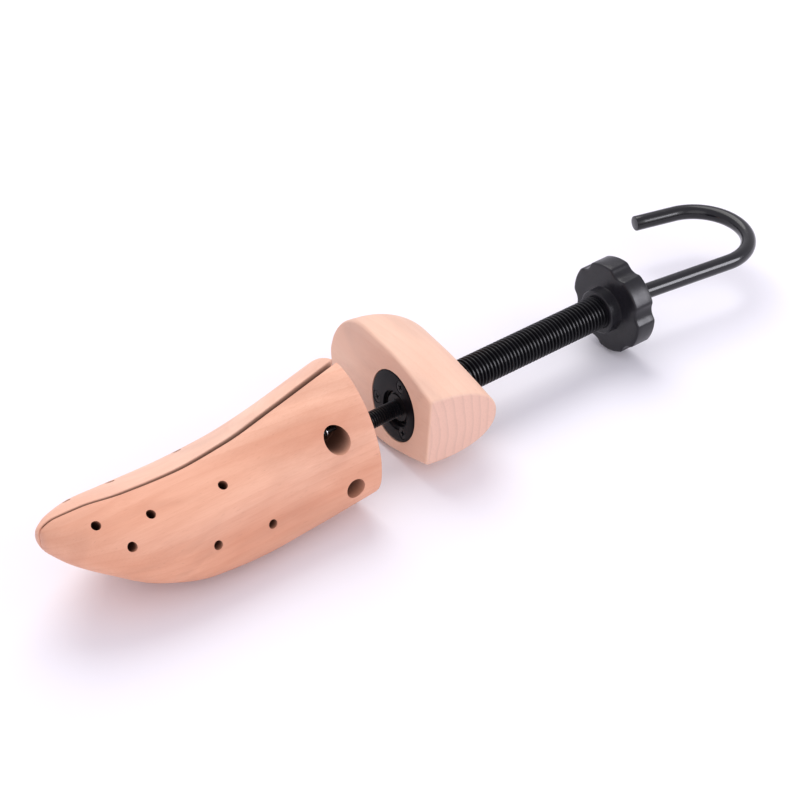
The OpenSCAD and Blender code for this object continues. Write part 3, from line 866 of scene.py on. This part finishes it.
def cross_head(name, y, z, spin):
    """A countersunk screw with a cross recess, its head flush with the flange."""
    profile = [(0.16, 1.2), (0.12, 2.3), (0.22, 2.75), (0.4, 2.85), (1.6, 1.5), (12, 1.45), (14, 0.3)]
    screw = lathe(name, profile, 40, heel, y=y, z=z)
    slots = []
    for a in (spin, spin + QUARTER):
        c, s = math.cos(a), math.sin(a)
        rings = []
        for x, half, thick in ((-0.5, 1.75, 0.46), (1.3, 0.9, 0.3)):
            corners = ((-half, -thick), (half, -thick), (half, thick), (-half, thick))
            rings.append([(x, y + c * p - s * q, z + s * p + c * q) for p, q in corners])
        slots.append(loft("cutter", rings, heel))
    return cut(screw, slots, 30)


for i, (y, z) in enumerate(screw_places()):
    screw = cross_head(f"flange_screw_{i + 1}", y, z, 0.3 + 1.1 * i)
    finish_piece(screw, "heel", BLACK_OXIDE, "black_steel", "flange_screws")


# ---------------------------------------------------------------- sleeve and knob

KNOB_X, KNOB_T, KNOB_R = 126.5, 11, 22.4  # the front face, the thickness and the lobes' radius
KNOB_RIM, KNOB_FACE, RIM_STEPS = 0.9, 1.3, 4
COLLAR_X, COLLAR_R, RECESS_R = 120.6, 11.4, 8.9
SLEEVE_R, SLEEVE_BORE, SLEEVE_END = 8.0, 3.82, 135.5
LOBES, SCALLOP_R, SCALLOP_AT, SCALLOP_PHASE = 6, 7, 27.5, 13.7


def knob_outline(n=288):
    """The radius of the knob's edge at each angle, with the scallops' corners eased."""
    a = np.arange(n) * TAU / n
    r = np.full(n, float(KNOB_R))
    for i in range(LOBES):
        at = math.radians(360 - SCALLOP_PHASE - 360 / LOBES * i)
        off = (a - at + math.pi) % TAU - math.pi
        reach = SCALLOP_AT * np.sin(off)
        hit = (np.abs(reach) < SCALLOP_R) & (np.cos(off) > 0)
        inner = SCALLOP_AT * np.cos(off) - np.sqrt(np.maximum(SCALLOP_R ** 2 - reach ** 2, 0))
        r = np.where(hit, np.minimum(r, inner), r)
    for _ in range(3):
        r = (np.roll(r, 1) + r * 2 + np.roll(r, -1)) / 4
    return a, r


def knob_rings():
    """The collar, the front face, the lobed edge and the back face with its recess."""
    a, edge = knob_outline()
    back = KNOB_X + KNOB_T

    def ring(x, r):
        r = r * np.ones(len(a))
        return np.stack([np.full(len(a), x), r * np.cos(a), r * np.sin(a)], 1)

    def face(x, inner, shares):
        return [ring(x, inner + (edge - KNOB_FACE - inner) * t) for t in shares]

    def rim(k):
        """How far a step of the rim lies in from the face, and from the edge."""
        s = QUARTER * k / RIM_STEPS
        return KNOB_RIM * (1 - math.cos(s)), KNOB_RIM * (1 - math.sin(s))

    rims = [rim(k) for k in range(1, RIM_STEPS + 1)]
    rings = [ring(x, r) for x, r in (
        (120.7, 8.02), (COLLAR_X, 8.5), (COLLAR_X, 10.1), (120.75, 10.5), (121.1, 10.75),
        (KNOB_X - 0.5, 10.85), (KNOB_X - 0.12, 11.0), (KNOB_X, COLLAR_R))]
    rings += face(KNOB_X, COLLAR_R, (0.35, 0.7, 1.0))
    rings += [ring(KNOB_X + along_x, edge - inward) for along_x, inward in rims]
    rings += [ring(KNOB_X + KNOB_T * t, edge) for t in (0.3, 0.5, 0.7)]
    rings += [ring(back - along_x, edge - inward) for along_x, inward in reversed(rims)]
    rings += face(back, RECESS_R, (1.0, 0.7, 0.35))
    rings += [ring(x, r) for x, r in ((back, RECESS_R), (back - 0.4, 8.1), (back - 2.2, 8.02))]
    return np.array(rings)


rings = knob_rings()
faces = grid_faces(len(rings), rings.shape[1], closed=True)
knob = mesh_piece("knob_moulding", rings.reshape(-1, 3), faces, 34)
finish_piece(knob, "sleeve", BLACK_PLASTIC, "black_plastic", "knob")

sleeve = thread("sleeve_thread", 2.8, 122, SLEEVE_PITCH, 6.85, SLEEVE_R, 56)
sleeve_bore = [(-5, 4.9), (2.8, 4.3), (3.3, SLEEVE_BORE), (130, SLEEVE_BORE)]
cut(sleeve, [lathe("cutter", sleeve_bore, 40)], 30)
finish_piece(sleeve, "sleeve", THREAD_PLASTIC, "black_plastic", "threaded_sleeve")
tail = lathe("sleeve_tail", [
    (121.9, SLEEVE_BORE), (121.9, 7.98), (135.2, 7.98), (SLEEVE_END, 7.7),
    (SLEEVE_END, SLEEVE_BORE)], 64, ring=True)
finish_piece(tail, "sleeve", THREAD_PLASTIC, "black_plastic", "threaded_sleeve")


# ---------------------------------------------------------------- rod, hook and washers

ROD_R, KINK_X, KINK_R, KINK_A, STEM = 3.75, 138, 25, math.radians(7.8), 58.4
HOOK_R, HOOK_TURN, HOOK_LEG = 24.5, math.radians(173.3), 22


def hook_path():
    """From the sleeve's front end through the kink and along the stem, round the hook to its tip."""
    pts = [(1.4, 0)] + [(x, 0) for x in np.linspace(30, KINK_X, 8)]
    kink_steps, hook_steps = 8, 64
    for k in range(1, kink_steps + 1):
        a = KINK_A * k / kink_steps
        pts.append((KINK_X + KINK_R * math.sin(a), -KINK_R * (1 - math.cos(a))))
    x, y = pts[-1]
    for t in np.linspace(0, STEM, 10)[1:]:
        pts.append((x + t * math.cos(KINK_A), y - t * math.sin(KINK_A)))
    x, y = pts[-1]
    heading = -KINK_A
    cx, cy = x - HOOK_R * math.sin(heading), y + HOOK_R * math.cos(heading)
    for k in range(1, hook_steps + 1):
        h = heading + HOOK_TURN * k / hook_steps
        pts.append((cx + HOOK_R * math.sin(h), cy - HOOK_R * math.cos(h)))
    x, y = pts[-1]
    h = heading + HOOK_TURN
    for t in np.linspace(0, HOOK_LEG, 6)[1:]:
        pts.append((x + t * math.cos(h), y + t * math.sin(h)))
    return np.array([(x, y, 0) for x, y in pts])


THREAD_FRONT = -61.9  # where the rod's thread meets its journal

rod = tube("rod_hook", hook_path(), ROD_R, 40, rounded=0.5, sharp=30)
finish_piece(rod, "rod", BLACK_PAINT, "black_steel", "hook_rod")
rod_thread = thread("rod_thread", THREAD_FRONT, 1.9, 1.25, 3.28, 3.98, 40)
finish_piece(rod_thread, "rod", THREAD_PLASTIC, "black_steel", "hook_rod")
journal = lathe("rod_journal", [
    (-78.3, 2.4), (-78.1, 3.1), (-77.7, 3.4), (-77.1, 3.4), (-77.1, 2.5), (THREAD_FRONT, 2.5),
    (-61.8, 2.5)], 40)
finish_piece(journal, "rod", ZINC, "black_steel", "hook_rod")

thrust = lathe("thrust_washer_turned", [
    (1.5, 4.1), (1.5, 6.45), (1.7, 6.7), (2.5, 6.7), (2.7, 6.45), (2.7, 4.1)], 56, ring=True)
finish_piece(thrust, "washer", BLACK_OXIDE, "black_steel", "thrust_washer")
push_nut = lathe("push_nut", [
    (135.65, 3.8), (135.65, 6.2), (135.9, 6.5), (136.3, 6.4), (136.8, 5.0), (136.8, 3.8)],
    56, ring=True)
finish_piece(push_nut, "rod", ZINC, "bright_steel", "retaining_washer")


# ---------------------------------------------------------------- return spring

SPRING_R, SPRING_WIRE, SPRING_PITCH, COIL_END = 3.05, 0.5, 1.75, 11.6
COIL_POINTS = 22  # on each turn
LOOP_R = 1.72


def spring_path():
    """From the middle of the spring out to its end hook, which loops over the pin on the far half."""
    steps = int(COIL_END / SPRING_PITCH * COIL_POINTS)
    coil = []
    for i in range(steps + 1):
        y = COIL_END * i / steps
        a = -QUARTER - TAU * (COIL_END - y) / SPRING_PITCH
        coil.append((SPRING_R * math.cos(a), y, SPRING_R * math.sin(a)))
    pin = SPRING_LEDGE + 1.1
    bend = [(0.25, 12.6, -3.0), (0.15, 13.7, -2.35), (0.0, 14.7, -1.85)]
    loop = [(0.0, pin + LOOP_R * math.cos(a), LOOP_R * math.sin(a))
            for a in np.linspace(-QUARTER, math.pi * 0.62, 14)]
    raw = np.array(coil[-3:] + bend + loop)
    run = np.concatenate([[0], np.cumsum(np.linalg.norm(np.diff(raw, axis=0), axis=1))])
    even = np.linspace(0, run[-1], 44)
    eased = np.stack([np.interp(even, run, raw[:, c]) for c in range(3)], 1)
    return np.concatenate([coil[:-3], eased])


def spring_map(side):
    """From the spring's own frame to the rod's, for one side of the slit."""
    return lambda p: fore(np.asarray(p, float) * (1, side, 1) + (SPRING_X, 0, SPRING_Z))


for name, side, body in (("return_spring_far", 1, "half_far"), ("return_spring_near", -1, "half_near")):
    coil = tube(name, spring_path(), SPRING_WIRE, 10, to=spring_map(side), normal=(1, 0, 0))
    coil.data.materials.append(SPRING_STEEL)
    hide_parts("return_spring")
    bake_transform(coil)


# ---------------------------------------------------------------- kept CAD pieces

KEPT = ["trunnion_nut", "spreader_cone", "hinge_pin"]
KEPT += [f"{name}_{side}" for side in ("near", "far")
         for name in ("wear_plate", "plate_screws", "hinge_leaf", "hinge_screws", "spring_pin")]
for name in KEPT:
    node = frame["nodes"][name]
    if not node.material_slots:
        node.data.materials.append(ZINC)
    for slot in node.material_slots:
        slot.material = DARK_STEEL if name.startswith("spring_pin") else ZINC


# ---------------------------------------------------------------- floor, light and camera

def plane(name, half, z):
    me = bpy.data.meshes.new(name)
    corners = [(-half, -half, z), (half, -half, z), (half, half, z), (-half, half, z)]
    me.from_pydata(corners, [], [(0, 1, 2, 3)])
    return linked(name, me)


studio = plane("studio_floor", 8.0, CAD_BOX[0][2] - 0.0002)
studio.data.materials.append(floor_material())


def area_light(name, at, target, size, watts, colour, glint_only=False):
    """A round soft light. glint_only keeps it out of diffuse light, so it shows in gloss alone."""
    data = bpy.data.lights.new(name, "AREA")
    data.shape, data.size, data.energy, data.color = "DISK", size, watts, colour
    obj = linked(name, data)
    obj.location = at
    obj.visible_diffuse = not glint_only
    obj.rotation_euler = (Vector(target) - Vector(at)).to_track_quat("-Z", "Y").to_euler()


area_light("key", (0.35, 0.95, 1.5), (0, 0, 0), 1.5, 16.5, (1.0, 0.985, 0.965))
area_light("fill", (-0.75, -1.2, 0.9), (-0.1, 0, 0.03), 1.4, 4.5, (1.0, 0.985, 0.985))
area_light("side", (0.7, -1.3, 0.8), (0.1, 0, 0.03), 1.2, 3.0, (1.0, 0.985, 0.99))
area_light("strip", (0.95, -1.30, 0.75), (0.1, 0, 0.03), 0.9, 21.0, (0.93, 0.92, 1.0), True)

scene_world = bpy.data.worlds.new("studio_world")
bpy.context.scene.world = scene_world
scene_world.use_nodes = True
backdrop = scene_world.node_tree.nodes["Background"]
backdrop.inputs[0].default_value = (0.935, 0.91, 1.0, 1)
backdrop.inputs[1].default_value = 0.79

bpy.context.scene.view_settings.view_transform = "Standard"

# The camera's axes and place, recovered from the photo; the place is in the rod's frame
RIGHT = Vector((0.7837, -0.6211, 0.0))
DOWN = Vector((-0.3737, -0.4717, -0.7986))
AHEAD = Vector((0.4960, 0.6259, -0.6018))
EYE = (-508.9, -646.2, 624.9)
camera = linked("camera", bpy.data.cameras.new("camera"))
camera.data.lens = 104.85
camera.data.sensor_width = 36
camera.data.clip_start = 0.05
facing = Matrix((RIGHT, -DOWN, -AHEAD)).transposed().to_4x4()
camera.matrix_world = Matrix.Translation(world(EYE)) @ facing
bpy.context.scene.camera = camera
